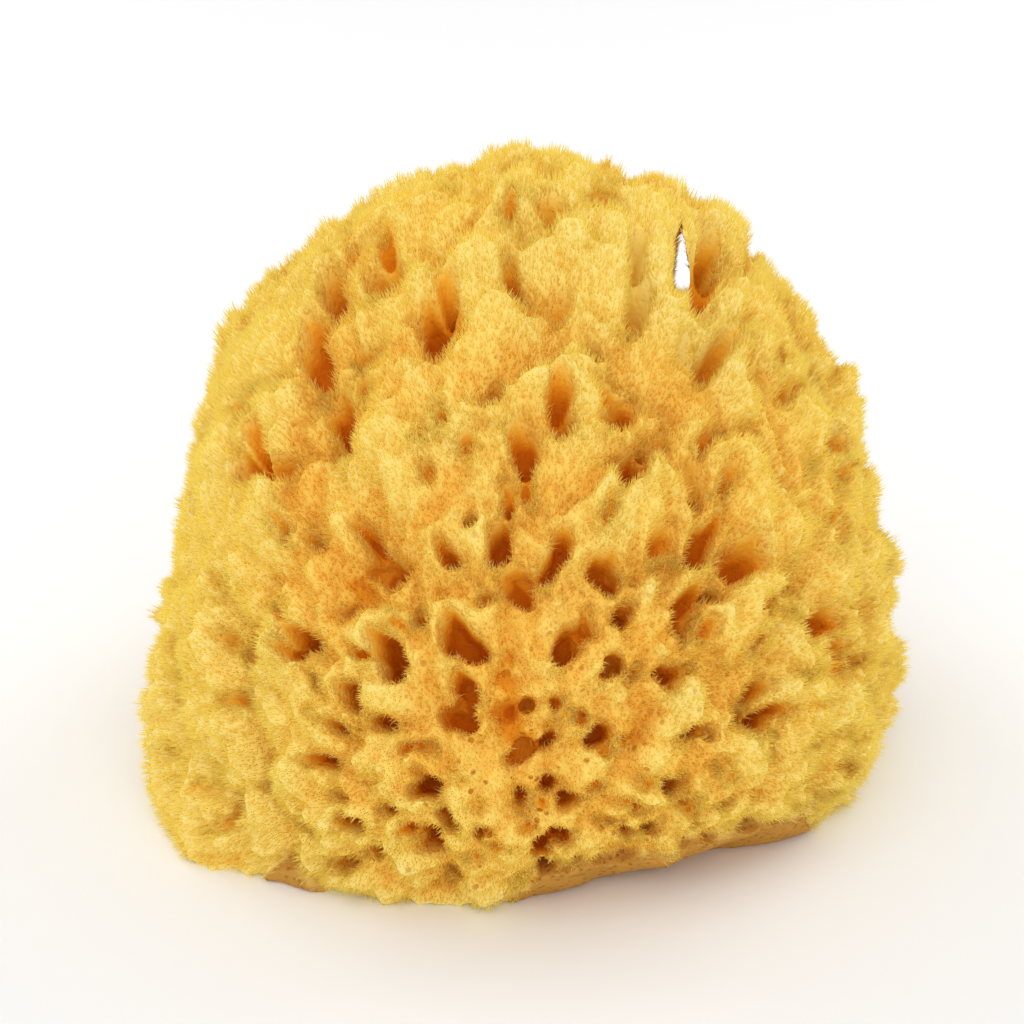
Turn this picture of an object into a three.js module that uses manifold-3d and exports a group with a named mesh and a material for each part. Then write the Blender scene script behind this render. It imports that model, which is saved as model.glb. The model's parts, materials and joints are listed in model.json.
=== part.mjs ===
// A dried bath sponge as it is sold: one woolly dome, trimmed flat where it grew on the rock.
// Millimetres, +Z up. The trimmed face lies on z = 0, and the front is towards -Y.
import * as THREE from 'three';
import { mergeVertices } from 'three/addons/utils/BufferGeometryUtils.js';
import { ImprovedNoise } from 'three/addons/math/ImprovedNoise.js';
import Module from 'manifold-3d';

// Driving dimensions. The envelope is the surface that the fibre tips reach.
const width = 150;
const depth = 138;
const height = 128;
const widestLevel = 27; // height of the widest level above the trimmed face
const rootLevel = 2; // the fibres and canals all point away from here, on the axis
const meshDetail = 24; // rows of facets on each face of the starting icosahedron

// How far the flank draws in between the widest level and the trimmed face, as a share of the radius.
const tuck = { all: 0.03, extra: 0.27, extraAt: 29, extraSpread: 32 };

// Lobes and hollows: where they are, how far they spread (degrees), how far they rise or sink (mm).
// Azimuth turns from the front towards +X, and elevation is seen from the root.
const lobes = [
  [-70, -4, 15, 9.5], // low bulge on the left, close to the ground
  [-82, 50, 20, -4],
  [-115, 77, 11, -4],
  [-175, 82, 10, 2],
  [100, 82, 8, -4],
  [123, 72, 9, 3],
  [98, 58, 7, -8],
  [101, 49, 6, 5], // spiky lobe on the right shoulder
  [92, 43, 6, -3],
  [86, 22, 8, 1],
  [64, -2, 15, 5],
  [26, 60, 16, 2],
  [-18, 25, 18, 1.5],
  [150, 32, 26, 5], // back
  [-143, 30, 24, 4],
  [178, 12, 18, -4],
];

// Creases between lobes: a chain of [azimuth, elevation], the half width (degrees) and the depth (mm).
const creases = [
  { chain: [[-55, 75], [-45, 65], [-45, 60], [-35, 55], [-25, 50]], spread: 3.4, deep: 8 },
  { chain: [[20, 70], [30, 65], [35, 55], [25, 50]], spread: 2.8, deep: 5 },
  { chain: [[60, 70], [50, 65], [55, 55]], spread: 3, deep: 5.5 },
  { chain: [[5, 80], [5, 70]], spread: 2.8, deep: 4.5 },
  { chain: [[-25, 75], [-25, 65], [-15, 60]], spread: 2.6, deep: 4.5 },
  { chain: [[60, 45], [45, 35], [40, 30]], spread: 3, deep: 5 },
  { chain: [[-60, 40], [-50, 30], [-45, 20]], spread: 3.2, deep: 4.5 },
  { chain: [[-95, 35], [-90, 20], [-100, 5]], spread: 3.5, deep: 5 },
  { chain: [[165, 65], [175, 45], [-175, 30]], spread: 4, deep: 7 },
  { chain: [[-120, 60], [-130, 40], [-125, 20]], spread: 3.6, deep: 6 },
  { chain: [[110, 45], [125, 30], [120, 10]], spread: 3.6, deep: 6 },
];

// The widest canals: where each opens on the skin, the radius of its mouth and its depth (mm).
const wideCanals = [
  [-10, 55, 2.4, 14],
  [0, 50, 2.8, 18],
  [15, 50, 3.4, 20],
  [-10, 35, 3.4, 26],
  [0, 30, 3.2, 26],
  [15, 40, 3.2, 26],
  [35, 45, 3, 14],
  [-30, 50, 2.8, 16],
  [35, 55, 3, 14],
  [20, 70, 2.8, 14],
  [-25, 75, 2.6, 14],
];

// The narrow ones stand along a spiral that winds down the dome, each a little off its place. Many places
// are left empty, though few of them in the crowded part at the front.
const narrowCanals = {
  places: 64,
  lowest: 12, // elevation of the spiral's last turn
  stray: 6, // degrees
  radius: [1.8, 2.8],
  deep: [10, 18],
  share: 0.3,
  crowded: { azimuth: 0, elevation: 35, spread: 38, share: 0.5 },
  seed: 5,
};

const canalTaper = 0.55; // the blind end's radius as a share of the mouth's
const canalSides = 9;
const canalOvershoot = 14; // how far each cutter starts outside the skin

// One narrow gap runs right through, behind the right shoulder: where its middle enters the skin, its width
// and height (mm), and how far its run turns towards +X and falls (degrees).
const gap = { azimuth: 53, elevation: 73, wide: 2.8, tall: 12.5, turn: 4, fall: 22, sides: 12 };

// Tufts: two sizes of swelling over the whole skin, as [waves per radian, rise in mm].
const tufts = [[5.2, 2.6], [11.5, 2.2]];
const tuftsFrom = new THREE.Vector3(3.1, 7.7, 1.3); // where in the noise they start

const mergeWithin = 1e-4;

const root = new THREE.Vector3(0, 0, rootLevel);
const noise = new ImprovedNoise();

function towards(azimuth, elevation) {
  const around = THREE.MathUtils.degToRad(azimuth);
  const up = THREE.MathUtils.degToRad(elevation);
  return new THREE.Vector3(Math.sin(around) * Math.cos(up), -Math.cos(around) * Math.cos(up), Math.sin(up));
}

const bell = (x) => Math.exp(-x * x);

// Distance from the root to the plain ellipsoid, along a unit vector.
function plainReach(way) {
  const axes = new THREE.Vector3(width / 2, depth / 2, height - widestLevel);
  const along = way.clone().divide(axes);
  const from = new THREE.Vector3(0, 0, rootLevel - widestLevel).divide(axes);
  const slope = along.dot(from);
  const square = along.lengthSq();
  return (Math.sqrt(slope * slope - square * (from.lengthSq() - 1)) - slope) / square;
}

function lobeRise(way) {
  return lobes.reduce((sum, [azimuth, elevation, spread, rise]) => {
    const angle = THREE.MathUtils.radToDeg(way.angleTo(towards(azimuth, elevation)));
    return sum + rise * bell(angle / spread);
  }, 0);
}

// Degrees between a way out of the root and the nearest point of a chain of ways.
function angleToChain(way, chain) {
  const span = new THREE.Line3();
  const nearest = new THREE.Vector3();
  let least = Infinity;
  for (let i = 1; i < chain.length; i++) {
    span.set(towards(...chain[i - 1]), towards(...chain[i]));
    span.closestPointToPoint(way, true, nearest);
    least = Math.min(least, way.angleTo(nearest));
  }
  return THREE.MathUtils.radToDeg(least);
}

function creaseDepth(way) {
  const depths = creases.map(({ chain, spread, deep }) => deep * bell(angleToChain(way, chain) / spread));
  return Math.max(0, ...depths);
}

function tuftRise(way) {
  return tufts.reduce((sum, [waves, rise]) => {
    const at = way.clone().multiplyScalar(waves).add(tuftsFrom);
    return sum + rise * noise.noise(at.x, at.y, at.z);
  }, 0);
}

const reach = (way) => plainReach(way) + lobeRise(way) - creaseDepth(way) + tuftRise(way);

// Draws a point below the widest level in towards the axis.
function tuckUnder(point) {
  const below = THREE.MathUtils.clamp(1 - point.z / widestLevel, 0, 2);
  const azimuth = THREE.MathUtils.radToDeg(Math.atan2(point.x, -point.y));
  const share = tuck.all + tuck.extra * bell((azimuth - tuck.extraAt) / tuck.extraSpread);
  const keep = 1 - share * below * below;
  return point.set(point.x * keep, point.y * keep, point.z);
}

const skinPoint = (way) => tuckUnder(way.clone().multiplyScalar(reach(way)).add(root));

function asSolid(wasm, geometry) {
  const bare = geometry.clone();
  bare.deleteAttribute('normal');
  bare.deleteAttribute('uv');
  const merged = mergeVertices(bare, mergeWithin);
  return new wasm.Manifold(new wasm.Mesh({
    numProp: 3,
    vertProperties: merged.attributes.position.array,
    triVerts: new Uint32Array(merged.index.array),
  }));
}

function asGeometry(solid) {
  const { vertProperties, triVerts } = solid.getMesh();
  const geometry = new THREE.BufferGeometry();
  geometry.setAttribute('position', new THREE.BufferAttribute(vertProperties, 3));
  geometry.setIndex(new THREE.BufferAttribute(triVerts, 1));
  return geometry;
}

function domeGeometry() {
  const geometry = new THREE.IcosahedronGeometry(1, meshDetail);
  const corners = geometry.attributes.position;
  const way = new THREE.Vector3();
  for (let i = 0; i < corners.count; i++) {
    way.fromBufferAttribute(corners, i).normalize();
    corners.setXYZ(i, ...skinPoint(way));
  }
  return geometry;
}

// A slab under z = 0: what the knife took off.
function trimGeometry() {
  const slab = 2 * height;
  return new THREE.BoxGeometry(2 * width, 2 * depth, slab).translate(0, 0, -slab / 2);
}

// Places on the spiral, and which of them hold a canal.
function narrowCanalList() {
  const { places, lowest, stray, radius, deep, share, crowded, seed } = narrowCanals;
  const { seededRandom, degToRad, radToDeg, lerp } = THREE.MathUtils;
  const turn = 180 * (3 - Math.sqrt(5)); // the golden angle
  const found = [];
  seededRandom(seed);
  for (let i = 0; i < places; i++) {
    const level = lerp(1, Math.sin(degToRad(lowest)), (i + 0.5) / places);
    const azimuth = i * turn + stray * (2 * seededRandom() - 1);
    const elevation = radToDeg(Math.asin(level)) + stray * (2 * seededRandom() - 1);
    const size = seededRandom();
    const luck = seededRandom();
    const away = radToDeg(towards(azimuth, elevation).angleTo(towards(crowded.azimuth, crowded.elevation)));
    if (luck < share + crowded.share * bell(away / crowded.spread)) {
      found.push([azimuth, elevation, lerp(...radius, size), lerp(...deep, size)]);
    }
  }
  return found;
}

function canalGeometry([azimuth, elevation, radius, deep]) {
  const mouth = skinPoint(towards(azimuth, elevation));
  const way = mouth.clone().sub(root).normalize();
  const long = deep + canalOvershoot;
  const geometry = new THREE.CylinderGeometry(radius, radius * canalTaper, long, canalSides);
  const turn = new THREE.Quaternion().setFromUnitVectors(new THREE.Vector3(0, 1, 0), way);
  const middle = mouth.addScaledVector(way, canalOvershoot - long / 2);
  return geometry.applyQuaternion(turn).translate(...middle);
}

function gapGeometry() {
  const geometry = new THREE.CylinderGeometry(0.5, 0.5, 2 * width, gap.sides);
  geometry.scale(gap.wide, 1, gap.tall);
  const entry = skinPoint(towards(gap.azimuth, gap.elevation));
  const fall = THREE.MathUtils.degToRad(gap.fall);
  const turn = THREE.MathUtils.degToRad(gap.turn);
  return geometry.rotateX(-fall).rotateZ(-turn).translate(...entry);
}

// Stands the finished solid over the origin: the middle of its outline, on the trimmed face.
function centred(geometry) {
  geometry.computeBoundingBox();
  const middle = geometry.boundingBox.getCenter(new THREE.Vector3());
  return geometry.translate(-middle.x, -middle.y, 0);
}

const wasm = await Module();
wasm.setup();

let solid = asSolid(wasm, domeGeometry()).subtract(asSolid(wasm, trimGeometry()));
solid = solid.subtract(asSolid(wasm, gapGeometry()));
for (const canal of [...wideCanals, ...narrowCanalList()]) {
  solid = solid.subtract(asSolid(wasm, canalGeometry(canal)));
}

const material = new THREE.MeshStandardMaterial({ color: 0xe9b23c, roughness: 0.95, metalness: 0 });
const sponge = new THREE.Mesh(centred(asGeometry(solid)), material);
sponge.name = 'sponge';

const part = new THREE.Group();
part.add(sponge);

export default part;
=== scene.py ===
# A dried sea sponge for the bath: one woolly dome of fibre on a pale table.
import json
import math
import random

import bmesh
import bpy
import numpy as np
from mathutils import Matrix, Vector, noise
from mathutils.bvhtree import BVHTree
from mathutils.geometry import intersect_point_line
from mathutils.kdtree import KDTree

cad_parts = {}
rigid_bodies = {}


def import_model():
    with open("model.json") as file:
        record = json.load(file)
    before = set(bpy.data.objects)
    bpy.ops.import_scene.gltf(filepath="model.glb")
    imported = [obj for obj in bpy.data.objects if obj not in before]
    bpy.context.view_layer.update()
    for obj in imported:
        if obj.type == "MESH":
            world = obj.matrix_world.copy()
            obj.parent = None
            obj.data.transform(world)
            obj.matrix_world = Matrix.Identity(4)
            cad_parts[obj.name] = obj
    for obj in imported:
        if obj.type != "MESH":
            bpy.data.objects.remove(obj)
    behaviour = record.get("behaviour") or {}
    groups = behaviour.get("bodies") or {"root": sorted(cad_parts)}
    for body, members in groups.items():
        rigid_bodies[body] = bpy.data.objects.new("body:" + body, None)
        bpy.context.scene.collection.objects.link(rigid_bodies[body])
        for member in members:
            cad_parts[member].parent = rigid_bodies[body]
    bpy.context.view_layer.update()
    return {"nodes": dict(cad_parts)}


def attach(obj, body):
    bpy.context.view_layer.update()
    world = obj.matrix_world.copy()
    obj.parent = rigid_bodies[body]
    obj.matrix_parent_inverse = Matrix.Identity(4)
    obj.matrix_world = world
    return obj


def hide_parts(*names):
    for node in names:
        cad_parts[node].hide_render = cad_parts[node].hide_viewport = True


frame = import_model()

mm = 0.001
growthPoint = Vector((0, 0.3, 2)) * mm  # the fibres and canals all lead away from here
wellOutside = 0.4  # metres from the growth point, past the whole sponge
tiny = 0.01 * mm  # points closer than this count as one
noise.seed_set(8)  # any whole number but 0, which would give other lobes each time


# small helpers

def towards(azimuth, elevation):
    around, up = math.radians(azimuth), math.radians(elevation)
    return Vector((math.sin(around) * math.cos(up), -math.cos(around) * math.cos(up), math.sin(up)))


def ramp(low, high, value):
    t = np.clip((value - low) / (high - low), 0, 1)
    return t * t * (3 - 2 * t)


def newObject(name, data):
    piece = bpy.data.objects.new(name, data)
    bpy.context.scene.collection.objects.link(piece)
    return piece


def meshFrom(shape, name):
    mesh = bpy.data.meshes.new(name)
    shape.to_mesh(mesh)
    shape.free()
    return mesh


def applyModifiers(piece):
    graph = bpy.context.evaluated_depsgraph_get()
    finished = bpy.data.meshes.new_from_object(piece.evaluated_get(graph))
    piece.modifiers.clear()
    piece.data = finished


def remesh(piece, voxel):
    step = piece.modifiers.new("remesh", "REMESH")
    step.mode = "VOXEL"
    step.voxel_size = voxel
    applyModifiers(piece)


def swell(piece, distance):
    step = piece.modifiers.new("swell", "DISPLACE")
    step.mid_level = 0
    step.strength = distance
    applyModifiers(piece)


def readVectors(mesh, name):
    values = np.zeros(len(mesh.vertices) * 3)
    mesh.vertices.foreach_get(name, values)
    return values.reshape(-1, 3)


def writePoints(mesh, points):
    mesh.vertices.foreach_set("co", np.ascontiguousarray(points, dtype=np.float32).ravel())
    mesh.update()


def keepValues(mesh, name, values):
    attribute = mesh.attributes.new(name, "FLOAT", "POINT")
    attribute.data.foreach_set("value", np.ascontiguousarray(values, dtype=np.float32))


# camera, light and table

view = {"elevation": 27, "distance": 558 * mm, "lens": 100, "aim": Vector((-2.2, 0, 54)) * mm}


def placeCamera():
    data = bpy.data.cameras.new("camera")
    data.lens = view["lens"]
    camera = newObject("camera", data)
    back = towards(0, view["elevation"])
    camera.location = view["aim"] + back * view["distance"]
    camera.rotation_euler = (-back).to_track_quat("-Z", "Y").to_euler()
    bpy.context.scene.camera = camera


lamps = {
    "keyLight": {"azimuth": -20, "elevation": 58, "distance": 0.9, "size": 0.9, "power": 1.85},
    "frontLight": {"azimuth": 12, "elevation": 24, "distance": 0.9, "size": 0.8, "power": 1.25},
    "leftRimLight": {"azimuth": -125, "elevation": 30, "distance": 0.9, "size": 0.7, "power": 2.0},
    "rightRimLight": {"azimuth": 125, "elevation": 30, "distance": 0.9, "size": 0.7, "power": 2.0},
}
lampAim = Vector((0, 0, 50)) * mm  # about the middle of the sponge
skyStrength = 0.67
grainLeft = 0.05  # how much grain a spot may keep before it counts as finished


def lightTheSet():
    for name, lamp in lamps.items():
        data = bpy.data.lights.new(name, "AREA")
        data.shape = "DISK"
        data.size = lamp["size"]
        data.energy = lamp["power"]
        away = towards(lamp["azimuth"], lamp["elevation"])
        light = newObject(name, data)
        light.location = lampAim + away * lamp["distance"]
        light.rotation_euler = (-away).to_track_quat("-Z", "Y").to_euler()
    world = bpy.data.worlds.new("studio")
    world.use_nodes = True
    nodes, links = world.node_tree.nodes, world.node_tree.links
    sky = nodes["Background"]
    sky.inputs["Strength"].default_value = skyStrength
    sky.inputs["Color"].default_value = (1, 1, 1, 1)
    paper = nodes.new("ShaderNodeBackground")
    paper.inputs["Color"].default_value = (1, 1, 1, 1)
    seen = nodes.new("ShaderNodeLightPath")
    choose = nodes.new("ShaderNodeMixShader")
    links.new(seen.outputs["Is Camera Ray"], choose.inputs["Fac"])
    links.new(sky.outputs[0], choose.inputs[1])
    links.new(paper.outputs[0], choose.inputs[2])
    links.new(choose.outputs[0], nodes["World Output"].inputs["Surface"])
    bpy.context.scene.world = world
    bpy.context.scene.view_settings.view_transform = "Standard"
    bpy.context.scene.cycles.adaptive_threshold = grainLeft


tableLook = {"halfWidth": 6, "colour": (0.95, 0.95, 0.95, 1), "roughness": 0.9}


def layTable():
    sheet = bmesh.new()
    bmesh.ops.create_grid(sheet, x_segments=1, y_segments=1, size=tableLook["halfWidth"])
    table = newObject("table", meshFrom(sheet, "table"))
    paint = bpy.data.materials.new("tablePaint")
    paint.use_nodes = True
    shader = paint.node_tree.nodes["Principled BSDF"]
    shader.inputs["Base Color"].default_value = tableLook["colour"]
    shader.inputs["Roughness"].default_value = tableLook["roughness"]
    table.data.materials.append(paint)


# the sponge's body: the fibre mass, with its lobes, folds and canals
# plain lengths are in mm, and cells and canals have theirs at the reference distance from the growth point

bodyShape = {
    "firstVoxel": 0.9 * mm,
    "lastVoxel": 0.8 * mm,
    "triangles": 195000,
    "reference": 80,
    "closing": 5 * mm,  # how far the skin swells and shrinks again, to close the solid's own canals
    "closedVoxel": 2 * mm,
    "rise": 0.4,  # how far the highest lobes stand over the faceted skin, without their fibres
    "deepest": 14,  # under the skin
    "relief": (  # step: unlike heights; lean: how far a lobe rises outwards; gap: how deep its edge is
        {"cell": 15.0, "step": 1.6, "lean": 5.5, "gap": 2.4, "slope": 0.28, "start": (0, 0, 0)},
        {"cell": 7.0, "step": 0.8, "lean": 3.6, "gap": 1.9, "slope": 0.32, "start": (9, 2, 4)},
        {"cell": 3.0, "step": 0.4, "lean": 0.9, "gap": 0.9, "slope": 0.45, "start": (3, 8, 1)},
    ),
    "crest": 0.2,  # how far out in a cell its lobe reaches full height, as a share of the cell
    "cellStride": 7.3,  # so that neighbouring cells get unlike heights
    "reliefShare": (0.35, 0.65),  # of the relief that is everywhere, and that goes by openness
    "bends": ((7, 2.2), (4, 1.3), (2, 0.5)),  # size and strength of the waves that bend cells and mouths
    "heart": 27,  # elevation of the middle of the front and of the back, which lobes lean away from
    "swells": (  # azimuth, elevation, spread in degrees, and height
        (-115, 58, 10, 6.0), (125, 50, 12, 7.0), (60, 70, 14, 1.0), (-95, 35, 16, -1.5),
        (0, 85, 16, 4.0), (-97, 17, 9, 4.0), (-80, -2, 14, -1.0), (-56, -4, 9, 12.0),
        (8, -3, 7, -2.5), (30, -2, 10, 5.0), (50, -3, 9, 2.0), (92, 10, 8, 7.0),
    ),
    "nearTrim": 5,  # height over the trimmed face within which it swells and sinks less
    "trimShare": (0.75, 0.25),  # of that on the trimmed face, and added above it
    "flatBelow": 0.6 * mm,  # points lower than this stay on the trimmed face
    "clearOfTrim": 0.8 * mm,  # the others stay over this
    # where there are more gaps and canals than elsewhere, and where there are fewer
    "crowded": {"azimuth": 4, "elevation": 42, "spread": 40, "more": 0.35},
    "combed": {"azimuth": -80, "elevation": 25, "spread": 38, "more": -0.55},
}

# folds between the largest masses, each along a path of azimuths and elevations, with a spread in degrees
creases = (
    {"path": ((-90, 75), (-60, 65), (-50, 55), (-30, 45)), "spread": 1.9, "deep": 5},
    {"path": ((0, 50), (-3, 35), (0, 18)), "spread": 1.7, "deep": 3.5},
    {"path": ((20, 52), (18, 30)), "spread": 1.7, "deep": 4},
    {"path": ((35, 75), (45, 60), (40, 48)), "spread": 1.7, "deep": 3},
)

# canals are round in the front, and open out into long troughs towards the rim
canalField = {
    "places": 760,
    "lowest": 5,  # elevation
    "stray": 3.5,  # degrees
    "seed": 21,
    "narrow": 1.5,  # above 1, more of them are narrow than wide
    "nearby": 6,  # how many a point is measured against
    "open": {"share": 0.62, "mouth": (1.4, 3.0), "depth": (6, 14), "taper": 2.5},
    "front": {"share": 0.9, "mouth": (1.4, 3.1), "depth": (6, 14), "taper": 3.5},
    "frontZone": {"azimuth": 2, "elevation": 32, "spread": 25},
    "trough": 2.0,  # how much longer than wide a trough is on its outer side
}

# the gap that runs right through, behind the right shoulder
slit = {
    "azimuth": 53, "elevation": 73, "turn": 4, "fall": 22,
    "wide": 4.0 * mm, "tall": 15 * mm,
    "sides": 20, "length": 0.3, "nearEnd": 0.2, "farEnd": 0.8,  # the cutter, wider at its far end
    # shares of its width: half way up, lost over its height, and always kept
    "half": 0.75, "taper": 1.1, "least": 0.15,
    "paleWithin": 7,  # degrees round it that are coloured as if nearer the skin, with less painted shade
    "paler": 0.75,
}

# the smooth underside that shows at the front, below the lowest tufts
underside = {
    "wander": 5.0, "waves": 7 * mm,  # how much and how finely its upper edge goes up and down
    "fade": 0.8,
    "under": 1,  # how far below the ground this edge lies outside the stretches
    "sunk": 1.5,
    "stretches": (  # azimuths and height
        {"from": 0, "to": 58, "fade": 6, "height": 11},
        {"from": -45, "to": -37, "fade": 4, "height": 6},
    ),
}


def bell(x):
    return math.exp(-x * x)


def openness(way):
    # how many canals and gaps there are: more at the front, fewer on the left flank
    much = 1
    for zone in (bodyShape["crowded"], bodyShape["combed"]):
        angle = math.degrees(way.angle(towards(zone["azimuth"], zone["elevation"])))
        much += zone["more"] * bell(angle / zone["spread"])
    return much


def leanWay(way):
    # away from the middle of the side that this is on: longest at its rim, and nothing in its middle
    heart = towards(0 if way.y < 0 else 180, bodyShape["heart"])
    return way * way.dot(heart) - heart


def placeCanals():
    chance = random.Random(canalField["seed"])
    turn = 180 * (3 - math.sqrt(5))
    lowest = math.sin(math.radians(canalField["lowest"]))
    zone = canalField["frontZone"]
    canals = []
    for i in range(canalField["places"]):
        level = 1 + (lowest - 1) * (i + 0.5) / canalField["places"]
        stray = [canalField["stray"] * chance.uniform(-1, 1) for axis in range(2)]
        way = towards(i * turn + stray[0], math.degrees(math.asin(level)) + stray[1])
        size, luck = chance.random() ** canalField["narrow"], chance.random()
        away = math.degrees(way.angle(towards(zone["azimuth"], zone["elevation"])))
        kind = canalField["front" if away < zone["spread"] else "open"]
        much = openness(way)
        if luck < kind["share"] * much:
            mouth = kind["mouth"][0] + (kind["mouth"][1] - kind["mouth"][0]) * size
            depth = kind["depth"][0] + (kind["depth"][1] - kind["depth"][0]) * size
            canals.append((way, mouth, depth * min(1, much), kind["taper"], leanWay(way)))
    axes = KDTree(len(canals))
    for i, canal in enumerate(canals):
        axes.insert(canal[0] * bodyShape["reference"], i)
    axes.balance()
    print("canals:", len(canals))
    return canals, axes


def lastingUnderside(point):
    # 1 on the smooth underside, 0 above it
    around = math.degrees(math.atan2(point.x, -point.y))
    wander = underside["wander"] * noise.noise(point / underside["waves"])
    there = 0
    for stretch in underside["stretches"]:
        start = ramp(stretch["from"] - stretch["fade"], stretch["from"] + stretch["fade"], around)
        end = ramp(stretch["to"] - stretch["fade"], stretch["to"] + stretch["fade"], around)
        edge = (stretch["height"] + wander) * start * (1 - end) - underside["under"]
        there = max(there, 1 - ramp(edge - underside["fade"], edge + underside["fade"], point.z / mm))
    return there


def cellRelief(at, layer):
    # lobes of different heights that rise outwards and end in a steep edge, with gaps between them
    place = (at + Vector(layer["start"])) / layer["cell"]
    near, centres = noise.voronoi(place)
    gap = 1 - min(1, (near[1] - near[0]) / layer["slope"])
    rise = (place - centres[0]).dot(leanWay(at.normalized()))
    luck = 0.5 + 0.5 * noise.cell(centres[0] * bodyShape["cellStride"])
    lean = layer["lean"] * max(0, bodyShape["crest"] - rise)
    return layer["step"] * luck + layer["gap"] * gap * gap + lean


def bend(at):
    # moves a place a little, so that no cell or mouth is round
    moved = at
    for size, strength in bodyShape["bends"]:
        moved = moved + noise.noise_vector(at / size) * strength
    return moved


def reliefAt(way):
    bent = bend(way * bodyShape["reference"])
    everywhere, byOpenness = bodyShape["reliefShare"]
    share = everywhere + byOpenness * openness(way)
    return sum(cellRelief(bent, layer) for layer in bodyShape["relief"]) * share


def swellAt(way):
    rises = 0
    for azimuth, elevation, spread, rise in bodyShape["swells"]:
        rises += rise * bell(math.degrees(way.angle(towards(azimuth, elevation))) / spread)
    return rises


def creaseAt(way):
    # how deep the nearest fold is here
    bent = bend(way * bodyShape["reference"]).normalized()
    fold = 0
    for crease in creases:
        path = [towards(*place) for place in crease["path"]]
        for start, end in zip(path, path[1:]):
            share = intersect_point_line(bent, start, end)[1]
            nearest = start.lerp(end, min(1, max(0, share)))
            away = math.degrees((bent - nearest).length)
            fold = max(fold, crease["deep"] * bell(away / crease["spread"]))
    return fold


def hollowAt(way, canals, axes):
    # how deep the nearest canal is here, in mm, and 0 outside its mouth
    hollow = 0
    at = bend(way * bodyShape["reference"])
    for place, which, distance in axes.find_n(at, canalField["nearby"]):
        mouth, depth, taper, lean = canals[which][1:]
        rise = (at - place).dot(lean)
        if rise > 0:
            stretch = 1 + canalField["trough"] * lean.length
            outward = (rise / lean.length) ** 2
            distance = math.sqrt(max(0, distance ** 2 - outward * (1 - stretch ** -2)))
        hollow = max(hollow, depth * (1 - (distance / mouth) ** taper))
    return hollow


def mergedCopy(name, node):
    merged = bmesh.new()
    merged.from_mesh(frame["nodes"][node].data)
    bmesh.ops.remove_doubles(merged, verts=merged.verts, dist=tiny)
    return newObject(name, meshFrom(merged, name))


def closedSkin(node):
    # the CAD skin with its canals closed, to measure depth from
    skin = mergedCopy("skin", node)
    swell(skin, bodyShape["closing"])
    remesh(skin, bodyShape["closedVoxel"])
    swell(skin, -bodyShape["closing"])
    return skin


def turnShape(shape, degrees, axis):
    turn = Matrix.Rotation(math.radians(degrees), 3, axis)
    bmesh.ops.rotate(shape, verts=shape.verts, matrix=turn)


def cutSlit(body, tree):
    away = towards(slit["azimuth"], slit["elevation"])
    entry = tree.ray_cast(growthPoint + away * wellOutside, -away)[0]
    shape = bmesh.new()
    bmesh.ops.create_cone(shape, segments=slit["sides"], radius1=slit["farEnd"],
                          radius2=slit["nearEnd"], depth=slit["length"], cap_ends=True)
    turnShape(shape, 90, "X")
    bmesh.ops.scale(shape, verts=shape.verts, vec=(slit["wide"], 1, slit["tall"]))
    for point in shape.verts:
        point.co.x *= max(slit["least"], slit["half"] - slit["taper"] * point.co.z / slit["tall"])
    turnShape(shape, -slit["fall"], "X")
    turnShape(shape, -slit["turn"], "Z")
    bmesh.ops.translate(shape, verts=shape.verts, vec=entry)
    bmesh.ops.recalc_face_normals(shape, faces=shape.faces)
    blade = newObject("blade", meshFrom(shape, "blade"))
    cut = body.modifiers.new("slit", "BOOLEAN")
    cut.object = blade
    cut.solver = "EXACT"
    applyModifiers(body)
    bpy.data.objects.remove(blade)


def skinReach(way, tree):
    # metres from the growth point to the skin
    hit = tree.ray_cast(growthPoint + way * wellOutside, -way)[0]
    return (hit - growthPoint).length if hit else 0


def makeBody(tree, canals, axes):
    body = mergedCopy("spongeBody", "sponge")
    remesh(body, bodyShape["firstVoxel"])
    print("first remesh:", len(body.data.vertices), "points")
    points = readVectors(body.data, "co")
    onTrim, above = bodyShape["trimShare"]
    for point in points:
        here = Vector(point)
        way = (here - growthPoint).normalized()
        bare = lastingUnderside(here)
        sunk = (reliefAt(way) + creaseAt(way) + hollowAt(way, canals, axes)) * (1 - bare)
        sunk += underside["sunk"] * bare
        share = onTrim + above * ramp(0, bodyShape["nearTrim"], here.z / mm)
        raised = bodyShape["rise"] + swellAt(way) - sunk
        reach = (here - growthPoint).length + raised * mm * share
        moved = growthPoint + way * max(reach, skinReach(way, tree) - bodyShape["deepest"] * mm)
        if here.z < bodyShape["flatBelow"]:
            moved.z = here.z
        else:
            moved.z = max(moved.z, bodyShape["clearOfTrim"])
        point[:] = moved
    writePoints(body.data, points)
    remesh(body, bodyShape["lastVoxel"])
    print("second remesh:", len(body.data.polygons), "faces")
    cutSlit(body, tree)
    thin = body.modifiers.new("thin", "DECIMATE")
    thin.ratio = min(1, bodyShape["triangles"] / (2 * len(body.data.polygons)))
    applyModifiers(body)
    print("body:", len(body.data.polygons), "faces")
    return body


# where fibres grow
fibreGround = {
    "hollow": (0.8, 3.2),  # mm down a canal where fibres thin out, and where its wall is bare
    "deep": (9.0, 11.5),  # the same under the skin
    "clear": (0.1, 0.9),  # mm from a canal's edge where fibres start, and where they are thickest
    "outward": (0.0, 0.3),  # they need ground that faces out by this much
    "overTrim": (0.3, 1.2),  # mm over the trimmed face where they start, and where they are thickest
    "comb": 3.0,  # mm from a canal's edge within which they lean away from it
    "rim": (1.5, 3.5),  # mm from a canal's edge where the longer fringe ends
    "edge": (0.8, 2.0),  # and where the curled fibres end
    "upperWall": (0.5, 2),  # mm down a canal where the curled fibres end
    "porous": {"azimuth": 0, "elevation": 22, "spread": 30},  # where they are short, with pores between
}
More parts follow.
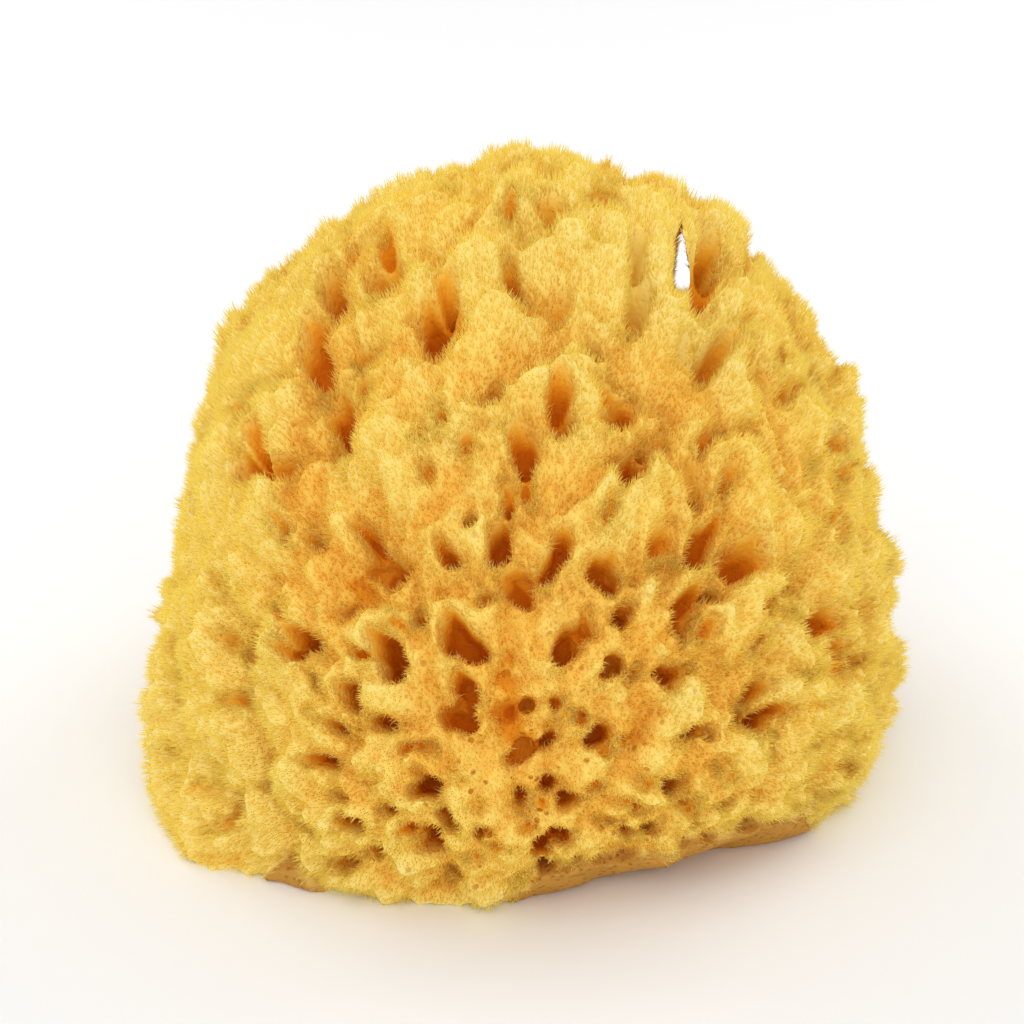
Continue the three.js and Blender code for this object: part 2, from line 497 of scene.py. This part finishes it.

# how deep a place is coloured as, in mm: the deeper, the more painted shade
depthShown = {
    "most": 6.0,  # in a gap between lobes
    "moulded": (8.5, 10.5),  # a place this deep lies in one of the solid's own canals
    "mouldedMore": 3.5,
    "canal": 1.3,  # times its depth
    "canalMore": 2, "canalStart": 1.5,
    "paler": 0.5,  # share lost at the rim of a side, as seen from the front: less painted shade there
}


def measureBody(body, tree, canals, axes):
    # keeps on the body how deep each point lies, how thickly fibres grow there and where they lean
    points = readVectors(body.data, "co")
    arms = points - np.array(growthPoint)
    reach = np.linalg.norm(arms, axis=1)
    ways = arms / reach[:, None]
    count = len(points)
    depth, hollow, bare, porous = np.zeros(count), np.zeros(count), np.zeros(count), np.zeros(count)
    zone = fibreGround["porous"]
    poreWay = towards(zone["azimuth"], zone["elevation"])
    for i in range(count):
        way = Vector(ways[i])
        depth[i] = (skinReach(way, tree) - reach[i]) / mm + bodyShape["rise"] + swellAt(way)
        # less depth towards the outline seen from the front, so less painted shade there
        depth[i] *= 1 - depthShown["paler"] * leanWay(way).length_squared
        hollow[i] = hollowAt(way, canals, axes)
        bare[i] = lastingUnderside(Vector(points[i]))
        porous[i] = bell(math.degrees(way.angle(poreWay)) / zone["spread"])
    inHole = (depth > fibreGround["deep"][1]) | (hollow > fibreGround["hollow"][1])
    holes = KDTree(int(inHole.sum()))
    for i in np.nonzero(inHole)[0]:
        holes.insert(Vector(arms[i]), i)
    holes.balance()
    edge, comb = np.zeros(count), np.zeros((count, 3))
    for i in np.nonzero(~inHole)[0]:
        place, which, distance = holes.find(Vector(arms[i]))
        edge[i] = distance / mm
        comb[i] = (Vector(arms[i]) - place) / max(distance, tiny)
    comb *= (1 - ramp(0, fibreGround["comb"], edge))[:, None]
    outward = np.sum(readVectors(body.data, "normal") * ways, axis=1)
    grow = (1 - ramp(*fibreGround["hollow"], hollow)) * (1 - ramp(*fibreGround["deep"], depth))
    grow *= ramp(*fibreGround["clear"], edge) * ramp(*fibreGround["outward"], outward)
    grow *= (1 - bare) * ramp(*fibreGround["overTrim"], points[:, 2] / mm)
    # the depth shown sets the painted shade: gaps between lobes, the solid's own canals, and the canals
    gap = np.minimum(depth, depthShown["most"])
    gap = gap + depthShown["mouldedMore"] * ramp(*depthShown["moulded"], depth)
    canal = depthShown["canal"] * hollow
    canal = canal + depthShown["canalMore"] * ramp(0, depthShown["canalStart"], hollow)
    shown = np.maximum(canal, gap)
    fromSlit = np.linalg.norm(ways - np.array(towards(slit["azimuth"], slit["elevation"])), axis=1)
    shown *= 1 - slit["paler"] * np.exp(-(np.degrees(fromSlit) / slit["paleWithin"]) ** 2)
    keepValues(body.data, "depth", shown)
    keepValues(body.data, "bare", bare)
    keepValues(body.data, "porous", porous)
    keepValues(body.data, "grow", grow)
    keepValues(body.data, "rim", grow * (1 - ramp(*fibreGround["rim"], edge)))
    curled = grow * (1 - ramp(*fibreGround["edge"], edge))
    keepValues(body.data, "edge", curled * (1 - ramp(*fibreGround["upperWall"], hollow)))
    lean = body.data.attributes.new("comb", "FLOAT_VECTOR", "POINT")
    lean.data.foreach_set("vector", comb.astype(np.float32).ravel())
    print("measured", count, "points, deepest", round(float(depth.max()), 1), "mm")


# small pores between the short fibres at the front, in shares of their cell; their dark colour is painted
# shade
pores = {
    "cell": 2.9 * mm,
    "clear": (0.24, 0.32),  # from its middle, where fibres start, and where they are thickest
    "shade": (0.18, 0.26),  # where its painted shade is full, and where it ends
    "sizes": (0.4, 1.15),  # the smallest and largest pore
}


# fibres

def addNode(tree, kind, values=None, **settings):
    node = tree.nodes.new(kind)
    for name, value in settings.items():
        setattr(node, name, value)
    for socket, value in (values or {}).items():
        if isinstance(value, bpy.types.NodeSocket):
            tree.links.new(value, node.inputs[socket])
        else:
            node.inputs[socket].default_value = value
    return node


def poreDistance(tree, pore):
    # distance from a pore's middle, as a share of the cell, made uneven so that pores differ in size
    luck = addNode(tree, "ShaderNodeSeparateXYZ", {0: pore.outputs["Color"]}).outputs[0]
    least, most = pores["sizes"]
    size = addNode(tree, "ShaderNodeMapRange", {"Value": luck, "To Min": least, "To Max": most}).outputs[0]
    share = addNode(tree, "ShaderNodeMath", {0: pore.outputs["Distance"], 1: size}, operation="DIVIDE")
    return share.outputs[0]


squareCorners = ((0.1, 0.1), (0.9, 0.1), (0.5, 0.9))  # of a facet in its square of the paint sheet


def spike(name, curl, rings):
    # one fibre of height 1 and radius 1, three-sided, with its own corner of the paint sheet
    shape = bmesh.new()
    bmesh.ops.create_cone(shape, segments=3, radius1=1, radius2=0, depth=1, cap_ends=True)
    bmesh.ops.translate(shape, verts=shape.verts, vec=(0, 0, 0.5))
    for ring in range(1, rings):
        bmesh.ops.bisect_plane(shape, geom=shape.verts[:] + shape.edges[:] + shape.faces[:],
                               plane_co=(0, 0, ring / rings), plane_no=(0, 0, 1))
    bmesh.ops.triangulate(shape, faces=shape.faces)
    sheet = shape.loops.layers.uv.new("OFBake")
    shape.faces.ensure_lookup_table()
    columns = math.ceil(math.sqrt(len(shape.faces)))
    for i, face in enumerate(shape.faces):
        left, low = (i % columns) / columns, (i // columns) / columns
        for loop, corner in zip(face.loops, squareCorners):
            loop[sheet].uv = (left + corner[0] / columns, low + corner[1] / columns)
    along = shape.verts.layers.float.new("along")
    for point in shape.verts:
        point[along] = point.co.z
        point.co.x += curl * point.co.z ** 2
    piece = newObject(name, meshFrom(shape, name))
    piece.hide_render = True
    return piece


def groundArea(body, where):
    # area of the body, counted by how thickly the fibres grow
    body.data.calc_loop_triangles()
    facets = body.data.loop_triangles
    areas, corners = np.zeros(len(facets)), np.zeros(len(facets) * 3, dtype=np.int32)
    facets.foreach_get("area", areas)
    facets.foreach_get("vertices", corners)
    thickness = np.zeros(len(body.data.vertices))
    body.data.attributes[where].data.foreach_get("value", thickness)
    return float(np.sum(areas * thickness[corners.reshape(-1, 3)].mean(axis=1)))


def growFibres(name, body, fibre, look):
    # plants look["count"] fibres on the body and joins them in one mesh
    bed = newObject(name, body.data.copy())
    bed.data.materials.clear()
    tree = bpy.data.node_groups.new(name, "GeometryNodeTree")
    tree.interface.new_socket("Geometry", in_out="INPUT", socket_type="NodeSocketGeometry")
    tree.interface.new_socket("Geometry", in_out="OUTPUT", socket_type="NodeSocketGeometry")
    start, end = tree.nodes.new("NodeGroupInput"), tree.nodes.new("NodeGroupOutput")

    def math2(kind, first, second):
        return addNode(tree, "ShaderNodeMath", {0: first, 1: second}, operation=kind).outputs[0]

    def vector2(kind, first, second):
        return addNode(tree, "ShaderNodeVectorMath", {0: first, 1: second}, operation=kind).outputs[0]

    def scaled(vector, amount):
        values = {0: vector, "Scale": amount}
        return addNode(tree, "ShaderNodeVectorMath", values, operation="SCALE").outputs[0]

    def named(attribute, kind="FLOAT"):
        values = {"Name": attribute}
        return addNode(tree, "GeometryNodeInputNamedAttribute", values, data_type=kind).outputs[0]

    def stored(points, attribute, value, **settings):
        values = {"Geometry": points, "Name": attribute, "Value": value}
        return addNode(tree, "GeometryNodeStoreNamedAttribute", values, **settings).outputs[0]

    def between(low, high, seed):
        return addNode(tree, "FunctionNodeRandomValue", {2: low, 3: high, 8: seed}).outputs[1]

    def cloud(size):
        return addNode(tree, "ShaderNodeTexNoise", {"Vector": here, "Scale": 1 / size, "Detail": 1})

    here = addNode(tree, "GeometryNodeInputPosition").outputs[0]
    density = math2("MULTIPLY", named(look["where"]), look["count"] / groundArea(body, look["where"]))
    pore = addNode(tree, "ShaderNodeTexVoronoi", {"Vector": here, "Scale": 1 / pores["cell"]})
    starts, full = pores["clear"]
    outside = addNode(tree, "ShaderNodeMapRange", {"Value": poreDistance(tree, pore),
                                                   "From Min": starts, "From Max": full}).outputs[0]
    closed = math2("MULTIPLY", named("porous"), math2("SUBTRACT", 1.0, outside))
    density = math2("MULTIPLY", density, math2("SUBTRACT", 1.0, closed))
    scatter = addNode(tree, "GeometryNodeDistributePointsOnFaces",
                      {"Mesh": start.outputs[0], "Density": density, "Seed": look["seed"]})

    # which way each fibre points
    aim = addNode(tree, "ShaderNodeVectorMath", {0: vector2("SUBTRACT", here, growthPoint)},
                  operation="NORMALIZE").outputs[0]
    scattered = addNode(tree, "FunctionNodeRandomValue", {0: (-1, -1, -1), 1: (1, 1, 1), 8: 3},
                        data_type="FLOAT_VECTOR").outputs[0]
    tufts = addNode(tree, "ShaderNodeTexVoronoi", {"Vector": here, "Scale": 1 / tuftSize})
    toTuft = vector2("SUBTRACT", tufts.outputs["Position"], here)
    wind = vector2("SUBTRACT", cloud(windSize).outputs["Color"], (0.5, 0.5, 0.5))
    pulls = (
        scaled(scatter.outputs["Normal"], look["lift"]),
        scaled(scattered, look["stray"]),
        scaled(toTuft, look["gather"] / tuftSize),
        scaled(wind, look["sweep"] * 2),
        scaled(named("comb", "FLOAT_VECTOR"), look["comb"]),
    )
    for pull in pulls:
        aim = vector2("ADD", aim, pull)
    stand = addNode(tree, "FunctionNodeAlignRotationToVector", {"Vector": aim}, axis="Z")
    twist = addNode(tree, "ShaderNodeCombineXYZ", {"Z": between(0, 2 * math.pi, 5)})
    turned = addNode(tree, "FunctionNodeRotateRotation", {0: stand.outputs[0], 1: twist.outputs[0]},
                     rotation_space="LOCAL")

    # how long and thick it is
    uneven = math2("ADD", cloud(unevenSize).outputs[0], leastLength)
    outer = math2("SUBTRACT", 1 + look["outer"], math2("MULTIPLY", named("porous"), look["outer"]))
    plain = between(look["length"][0] * mm, look["length"][1] * mm, 7)
    length = math2("MULTIPLY", plain, math2("MULTIPLY", uneven, outer))
    thick = between(look["radius"][0] * mm, look["radius"][1] * mm, 8)
    size = addNode(tree, "ShaderNodeCombineXYZ", {"X": thick, "Y": thick, "Z": length})

    shaded = stored(scatter.outputs[0], "shade", between(0, 1, 9))
    paled = stored(shaded, "depth", math2("MULTIPLY", named("depth"), look["fade"]))
    numbered = stored(paled, "number", addNode(tree, "GeometryNodeInputIndex").outputs[0])
    source = addNode(tree, "GeometryNodeObjectInfo", {"Object": fibre})
    planted = addNode(tree, "GeometryNodeInstanceOnPoints",
                      {"Points": numbered, "Instance": source.outputs["Geometry"],
                       "Rotation": turned.outputs[0], "Scale": size.outputs[0]})
    joined = addNode(tree, "GeometryNodeRealizeInstances", {"Geometry": planted.outputs[0]})

    # each fibre gets its own square of the paint sheet
    columns = math.ceil(math.sqrt(look["count"] * sheetRoom))
    column = math2("MODULO", named("number"), columns)
    row = math2("FLOOR", math2("DIVIDE", named("number"), columns), 0)
    square = addNode(tree, "ShaderNodeCombineXYZ", {"X": column, "Y": row})
    fitted = scaled(vector2("ADD", named("OFBake", "FLOAT_VECTOR"), square.outputs[0]), 1 / columns)
    painted = stored(joined.outputs[0], "OFBake", fitted, data_type="FLOAT2", domain="CORNER")
    lifted = vector2("MAXIMUM", here, (-1, -1, lowestFibre))
    cleared = addNode(tree, "GeometryNodeSetPosition", {"Geometry": painted, "Position": lifted})
    tree.links.new(cleared.outputs[0], end.inputs[0])
    bed.modifiers.new("fibres", "NODES").node_group = tree
    applyModifiers(bed)
    for spare in ("grow", "rim", "edge", "comb", "bare", "porous", "number"):
        if spare in bed.data.attributes:
            bed.data.attributes.remove(bed.data.attributes[spare])
    print(name, len(bed.data.polygons), "faces")
    return bed


# where: the value that says how thickly they grow; lengths and radii in mm
# outer: how much longer they are away from the pores at the front
# lift, stray, gather, sweep, comb: pulls by the ground, by luck, to a tuft, by the wind, off a canal's edge
# fade: how much of the ground's painted depth shade colours them
fibreLooks = {
    "underWool": {
        "where": "grow", "count": 48500, "seed": 11,
        "length": (0.8, 1.2), "outer": 0.7, "radius": (0.12, 0.16),
        "lift": 0.5, "stray": 0.4, "gather": 0.2, "sweep": 0.1, "comb": 0.15, "fade": 1,
    },
    "firstPile": {
        "where": "grow", "count": 48500, "seed": 12,
        "length": (0.9, 1.4), "outer": 0.75, "radius": (0.09, 0.12),
        "lift": 0.3, "stray": 0.2, "gather": 0.35, "sweep": 0.25, "comb": 0.1, "fade": 1,
    },
    "secondPile": {
        "where": "grow", "count": 48500, "seed": 13,
        "length": (0.9, 1.4), "outer": 0.75, "radius": (0.09, 0.12),
        "lift": 0.3, "stray": 0.2, "gather": 0.35, "sweep": 0.25, "comb": 0.1, "fade": 1,
    },
    "rimFringe": {
        "where": "rim", "count": 48500, "seed": 14,
        "length": (1.0, 1.7), "outer": 0.6, "radius": (0.08, 0.11),
        "lift": 0.2, "stray": 0.3, "gather": 0.4, "sweep": 0.25, "comb": 0, "fade": 0.6,
    },
    "curls": {
        "where": "edge", "count": 19000, "seed": 15,
        "length": (0.9, 1.5), "outer": 0.4, "radius": (0.11, 0.15),
        "lift": 0.2, "stray": 0.5, "gather": 0.2, "sweep": 0.2, "comb": 0, "fade": 0.3,
    },
}
tuftSize = 1.4 * mm  # fibres lean together in tufts this wide
lowestFibre = 0.1 * mm  # above the trimmed face
windSize = 9 * mm  # stretches this wide are swept the same way
unevenSize = 5 * mm  # and those this wide are about as long
leastLength = 0.55  # share of its length that every fibre keeps, whatever its stretch
sheetRoom = 1.03  # squares on the paint sheet for each fibre, as a few more may be planted


# finishes, with painted shade and painted light

tintAndShade = {
    # skin is the sponge's own colour; shallow to deepest are painted shade, darker and more orange the
    # deeper a place lies
    "skin": (1.0, 0.93, 0.41), "shallow": (1.0, 0.85, 0.26), "middle": (0.95, 0.59, 0.075),
    "low": (0.82, 0.34, 0.018), "deepest": (0.62, 0.18, 0.007),
    "tip": (1.0, 0.96, 0.52),
    "glow": (1.0, 0.91, 0.36), "deepGlow": (0.98, 0.64, 0.12),  # light that comes through; deepGlow is painted shade on it in deep places
    "footShade": (1.0, 0.88, 0.70),  # painted shade laid over the foot of each fibre and over all the ground
    # pore: painted shade in the front pores; bare: the underside's own tan
    "bare": (0.58, 0.29, 0.055), "pore": (0.55, 0.19, 0.014),
}

# how the tint, the painted shade and the painted light are laid on; depths in mm, places along a fibre as
# shares of it
shadeAndTone = {
    "depths": (2, 14),  # where the skin's colour ends, and where the darkest painted shade starts
    "stops": {"shallow": 0.26, "middle": 0.53, "low": 0.78},  # shares of the way between them
    "patchSize": 9 * mm, "patchDetail": 3, "patchDepth": 2,  # soft patches that look deeper, with more painted shade
    # where the painted light on a fibre's tip starts, and how much there is at its end
    "tipStart": 0.3, "tipMost": 0.7,
    # where the painted shade at a fibre's foot ends
    "footEnd": 0.35,
    "dimmest": 0.93,
}
fleshLook = {
    "shade": 0.6, "roughness": 0.95, "shine": 0.05,
    # the pores of the bare underside, darkened with painted shade as well as dented by the bump
    "fineCell": 1.5 * mm, "fineEdge": (0.12, 0.4), "fineDark": 0.45, "fineMix": 0.7,
    "grain": 0.7 * mm, "grainDetail": 2, "bump": 0.5, "bumpDepth": 0.4 * mm,
}
fibreLook = {"roughness": 0.8, "shine": 0.15, "glowDepths": (3, 14), "through": 0.68}


def opaque(colour):
    return (*colour, 1)


def mapped(tree, value, low, high, start=0, end=1):
    # from start at low to end at high
    values = {"Value": value, "From Min": low, "From Max": high, "To Min": start, "To Max": end}
    return addNode(tree, "ShaderNodeMapRange", values).outputs[0]


def blended(tree, amount, first, second, kind="MIX"):
    values = {"Factor": amount, 6: first, 7: second}
    return addNode(tree, "ShaderNodeMix", values, data_type="RGBA", blend_type=kind).outputs[2]


def grey(tree, value):
    return addNode(tree, "ShaderNodeCombineColor", {0: value, 1: value, 2: value}).outputs[0]


def reading(tree, name):
    return addNode(tree, "ShaderNodeAttribute", attribute_name=name).outputs["Fac"]


def spongeTintAndShade():
    # colour of the fibre: painted shade by how deep it lies, with soft patches, and painted shade and light
    # along it
    tree = bpy.data.node_groups.new("spongeTintAndShade", "ShaderNodeTree")
    for name in ("Depth", "Along", "Shade"):
        tree.interface.new_socket(name, in_out="INPUT", socket_type="NodeSocketFloat")
    tree.interface.new_socket("Color", in_out="OUTPUT", socket_type="NodeSocketColor")
    start, end = tree.nodes.new("NodeGroupInput"), tree.nodes.new("NodeGroupOutput")
    place = addNode(tree, "ShaderNodeTexCoord").outputs["Object"]
    patch = addNode(tree, "ShaderNodeTexNoise", {"Vector": place, "Scale": 1 / shadeAndTone["patchSize"],
                                                 "Detail": shadeAndTone["patchDetail"]})
    depth = addNode(tree, "ShaderNodeMath", {0: patch.outputs[0], 1: shadeAndTone["patchDepth"],
                                             2: start.outputs["Depth"]}, operation="MULTIPLY_ADD")
    level = mapped(tree, depth.outputs[0], *shadeAndTone["depths"])
    deep = addNode(tree, "ShaderNodeValToRGB", {"Fac": level})
    stops = deep.color_ramp
    stops.elements[0].color = opaque(tintAndShade["skin"])
    stops.elements[1].color = opaque(tintAndShade["deepest"])
    for name, position in shadeAndTone["stops"].items():
        stops.elements.new(position).color = opaque(tintAndShade[name])
    # painted shade: darker and more orange at the foot of each fibre, and over the whole body
    foot = mapped(tree, start.outputs["Along"], shadeAndTone["footEnd"], 0)
    footShaded = blended(tree, foot, deep.outputs[0], opaque(tintAndShade["footShade"]), "MULTIPLY")
    # painted light: paler towards the fibre's tip
    tip = mapped(tree, start.outputs["Along"], shadeAndTone["tipStart"], 1, end=shadeAndTone["tipMost"])
    pale = blended(tree, tip, footShaded, opaque(tintAndShade["tip"]))
    dim = mapped(tree, start.outputs["Shade"], 0, 1, start=shadeAndTone["dimmest"])
    varied = blended(tree, 1.0, pale, grey(tree, dim), "MULTIPLY")
    tree.links.new(varied, end.inputs[0])
    return tree


def bodyPaint(group):
    paint = bpy.data.materials.new("spongeFlesh")
    paint.use_nodes = True
    tree = paint.node_tree
    shader = tree.nodes["Principled BSDF"]
    colour = addNode(tree, "ShaderNodeGroup", {}, node_tree=group)
    tree.links.new(reading(tree, "depth"), colour.inputs["Depth"])
    colour.inputs["Shade"].default_value = fleshLook["shade"]
    place = addNode(tree, "ShaderNodeTexCoord").outputs["Object"]

    # dark pores between the short fibres: painted shade in pores that the body has no dents for
    pore = addNode(tree, "ShaderNodeTexVoronoi", {"Vector": place, "Scale": 1 / pores["cell"]})
    full, ends = pores["shade"]
    inside = mapped(tree, poreDistance(tree, pore), ends, full)
    poreShadeMask = addNode(tree, "ShaderNodeMath", {0: inside, 1: reading(tree, "porous")}, operation="MULTIPLY")
    poreShaded = blended(tree, poreShadeMask.outputs[0], colour.outputs[0], opaque(tintAndShade["pore"]))

    # the bare underside, with finer pores: dark spots of painted shade, which the bump also dents
    fine = addNode(tree, "ShaderNodeTexVoronoi", {"Vector": place, "Scale": 1 / fleshLook["fineCell"]})
    rim = mapped(tree, fine.outputs["Distance"], *fleshLook["fineEdge"], start=fleshLook["fineDark"])
    porous = blended(tree, fleshLook["fineMix"], opaque(tintAndShade["bare"]), grey(tree, rim), "MULTIPLY")
    whole = blended(tree, reading(tree, "bare"), poreShaded, porous)
    tree.links.new(whole, shader.inputs["Base Color"])

    grain = addNode(tree, "ShaderNodeTexNoise", {"Vector": place, "Scale": 1 / fleshLook["grain"],
                                                 "Detail": fleshLook["grainDetail"]})
    dents = addNode(tree, "ShaderNodeMath", {0: grain.outputs[0], 1: rim}, operation="ADD")
    bump = addNode(tree, "ShaderNodeBump", {"Height": dents.outputs[0], "Strength": fleshLook["bump"],
                                            "Distance": fleshLook["bumpDepth"]})
    tree.links.new(bump.outputs[0], shader.inputs["Normal"])
    shader.inputs["Roughness"].default_value = fleshLook["roughness"]
    shader.inputs["Specular IOR Level"].default_value = fleshLook["shine"]
    return paint


def fibrePaint(group):
    paint = bpy.data.materials.new("spongeFibre")
    paint.use_nodes = True
    tree = paint.node_tree
    shader = tree.nodes["Principled BSDF"]
    colour = addNode(tree, "ShaderNodeGroup", {}, node_tree=group)
    for name in ("Depth", "Along", "Shade"):
        tree.links.new(reading(tree, name.lower()), colour.inputs[name])
    tree.links.new(colour.outputs[0], shader.inputs["Base Color"])
    shader.inputs["Roughness"].default_value = fibreLook["roughness"]
    shader.inputs["Specular IOR Level"].default_value = fibreLook["shine"]
    # painted shade: light through fibres that stand deep is darker and more orange
    sunk = mapped(tree, reading(tree, "depth"), *fibreLook["glowDepths"])
    through = blended(tree, sunk, opaque(tintAndShade["glow"]), opaque(tintAndShade["deepGlow"]))
    glow = addNode(tree, "ShaderNodeBsdfTranslucent", {"Color": through})
    both = addNode(tree, "ShaderNodeMixShader", {0: fibreLook["through"], 1: shader.outputs[0],
                                                 2: glow.outputs[0]})
    tree.links.new(both.outputs[0], tree.nodes["Material Output"].inputs["Surface"])
    return paint


placeCamera()
lightTheSet()
layTable()
skin = closedSkin("sponge")
skinTree = BVHTree.FromObject(skin, bpy.context.evaluated_depsgraph_get())
bpy.data.objects.remove(skin)
canals, axes = placeCanals()
body = makeBody(skinTree, canals, axes)
measureBody(body, skinTree, canals, axes)
group = spongeTintAndShade()
flesh, fibre = bodyPaint(group), fibrePaint(group)
straight = spike("straightFibre", curl=0, rings=1)
curled = spike("curledFibre", curl=6, rings=2)
pieces = []
for name, look in fibreLooks.items():
    pieces.append(growFibres(name, body, curled if name == "curls" else straight, look))
bpy.data.objects.remove(straight)
bpy.data.objects.remove(curled)
for piece in pieces:
    piece.data.materials.clear()
    piece.data.materials.append(fibre)
    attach(piece, "root")
body.data.materials.clear()
body.data.materials.append(flesh)
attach(body, "root")
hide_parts("sponge")
